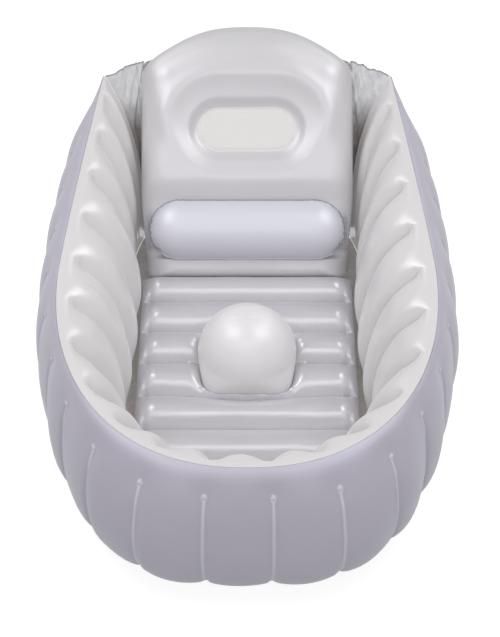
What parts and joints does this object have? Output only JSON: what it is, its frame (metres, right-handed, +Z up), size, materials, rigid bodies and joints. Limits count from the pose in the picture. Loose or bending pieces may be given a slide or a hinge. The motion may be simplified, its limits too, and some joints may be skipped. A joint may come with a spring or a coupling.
{
  "type": "inflatable baby bathtub",
  "caption": "Inflatable baby bathtub: lobed two-skin wall, channelled floor mattress, leaning backrest with pillow, seat ball, air valves and a floor drain.",
  "frame": {"origin": "middle of the tub's bottom on the ground", "axes": "+Y runs from the foot end to the backrest, +X is to the right of a viewer at the foot end, and +Z is up"},
  "size_m": [0.6412, 0.9783, 0.3298],
  "materials": {
    "lilac_vinyl": "matte lilac-grey vinyl",
    "ivory_vinyl": "satin ivory vinyl",
    "pearl_vinyl": "pearly satin vinyl",
    "pillow_vinyl": "glossy pale lilac vinyl",
    "clear_film": "clear wrinkled film",
    "valve_vinyl": "soft white vinyl"
  },
  "bodies": {
    "tub": {"outer_wall": "lilac_vinyl", "inner_wall": "ivory_vinyl", "base_sheet": "lilac_vinyl", "floor_mattress": "pearl_vinyl", "ball": "ivory_vinyl", "side_gusset_left": "clear_film", "side_gusset_right": "clear_film", "wall_valve_seat": "valve_vinyl", "mattress_valve_seat": "valve_vinyl", "ball_valve_seat": "valve_vinyl", "drain_seat": "valve_vinyl"},
    "backrest": {"backrest": "pearl_vinyl", "backrest_patch": "ivory_vinyl", "pillow": "pillow_vinyl", "pillow_tab_left": "clear_film", "pillow_tab_right": "clear_film", "backrest_valve_seat": "valve_vinyl"},
    "wall_valve_stem": {"wall_valve_stem": "valve_vinyl"},
    "wall_valve_cap": {"wall_valve_cap": "valve_vinyl"},
    "wall_valve_flap": {"wall_valve_flap": "valve_vinyl"},
    "backrest_valve_stem": {"backrest_valve_stem": "valve_vinyl"},
    "backrest_valve_cap": {"backrest_valve_cap": "valve_vinyl"},
    "backrest_valve_flap": {"backrest_valve_flap": "valve_vinyl"},
    "mattress_valve_stem": {"mattress_valve_stem": "valve_vinyl"},
    "mattress_valve_cap": {"mattress_valve_cap": "valve_vinyl"},
    "mattress_valve_flap": {"mattress_valve_flap": "valve_vinyl"},
    "ball_valve_stem": {"ball_valve_stem": "valve_vinyl"},
    "ball_valve_cap": {"ball_valve_cap": "valve_vinyl"},
    "ball_valve_flap": {"ball_valve_flap": "valve_vinyl"},
    "drain_plug": {"drain_plug": "valve_vinyl"}
  },
  "joints": [
    {"name": "backrest_lean", "type": "hinge", "parent": "tub", "child": "backrest", "pos_m": [0, 0.1717, 0.03], "axis": [-1, 0, 0], "range_deg": [0, 6], "stiffness_Nm_per_rad": 8, "springref_deg": -8.59, "deforming": ["side_gusset_left", "side_gusset_right"]},
    {"name": "wall_stem_pull", "type": "slide", "parent": "tub", "child": "wall_valve_stem", "axis": [-0.9954, 0.0958, 0], "range_m": [0, 0.01]},
    {"name": "wall_cap_pull", "type": "slide", "parent": "wall_valve_stem", "child": "wall_valve_cap", "axis": [-0.9954, 0.0958, 0], "range_m": [0, 0.012]},
    {"name": "wall_flap_open", "type": "hinge", "parent": "tub", "child": "wall_valve_flap", "pos_m": [-0.27828, 0.28295, 0.09], "axis": [0, 0, 1], "range_deg": [0, 60], "stiffness_Nm_per_rad": 0.0005, "springref_deg": -17.19},
    {"name": "backrest_stem_pull", "type": "slide", "parent": "backrest", "child": "backrest_valve_stem", "axis": [0, 0.682, -0.7314], "range_m": [0, 0.01]},
    {"name": "backrest_cap_pull", "type": "slide", "parent": "backrest_valve_stem", "child": "backrest_valve_cap", "axis": [0, 0.682, -0.7314], "range_m": [0, 0.012]},
    {"name": "backrest_flap_open", "type": "hinge", "parent": "backrest", "child": "backrest_valve_flap", "pos_m": [0.08938, 0.3945, 0.2163], "axis": [0, -0.7314, -0.682], "range_deg": [0, 60], "stiffness_Nm_per_rad": 0.0005, "springref_deg": -17.19},
    {"name": "mattress_stem_pull", "type": "slide", "parent": "tub", "child": "mattress_valve_stem", "axis": [0, 0, 1], "range_m": [0, 0.01]},
    {"name": "mattress_cap_pull", "type": "slide", "parent": "mattress_valve_stem", "child": "mattress_valve_cap", "axis": [0, 0, 1], "range_m": [0, 0.012]},
    {"name": "mattress_flap_open", "type": "hinge", "parent": "tub", "child": "mattress_valve_flap", "pos_m": [0.08948, -0.2756, 0.0367], "axis": [0, 1, 0], "range_deg": [0, 60], "stiffness_Nm_per_rad": 0.0005, "springref_deg": -17.19},
    {"name": "ball_stem_pull", "type": "slide", "parent": "tub", "child": "ball_valve_stem", "axis": [0, 0.9397, 0.342], "range_m": [0, 0.01]},
    {"name": "ball_cap_pull", "type": "slide", "parent": "ball_valve_stem", "child": "ball_valve_cap", "axis": [0, 0.9397, 0.342], "range_m": [0, 0.012]},
    {"name": "ball_flap_open", "type": "hinge", "parent": "tub", "child": "ball_valve_flap", "pos_m": [0.0056, 0.01945, 0.08306], "axis": [0, -0.342, 0.9397], "range_deg": [0, 60], "stiffness_Nm_per_rad": 0.0005, "springref_deg": -17.19},
    {"name": "drain_plug_lift", "type": "slide", "parent": "tub", "child": "drain_plug", "axis": [0, 0, 1], "range_m": [0, 0.03]}
  ]
}
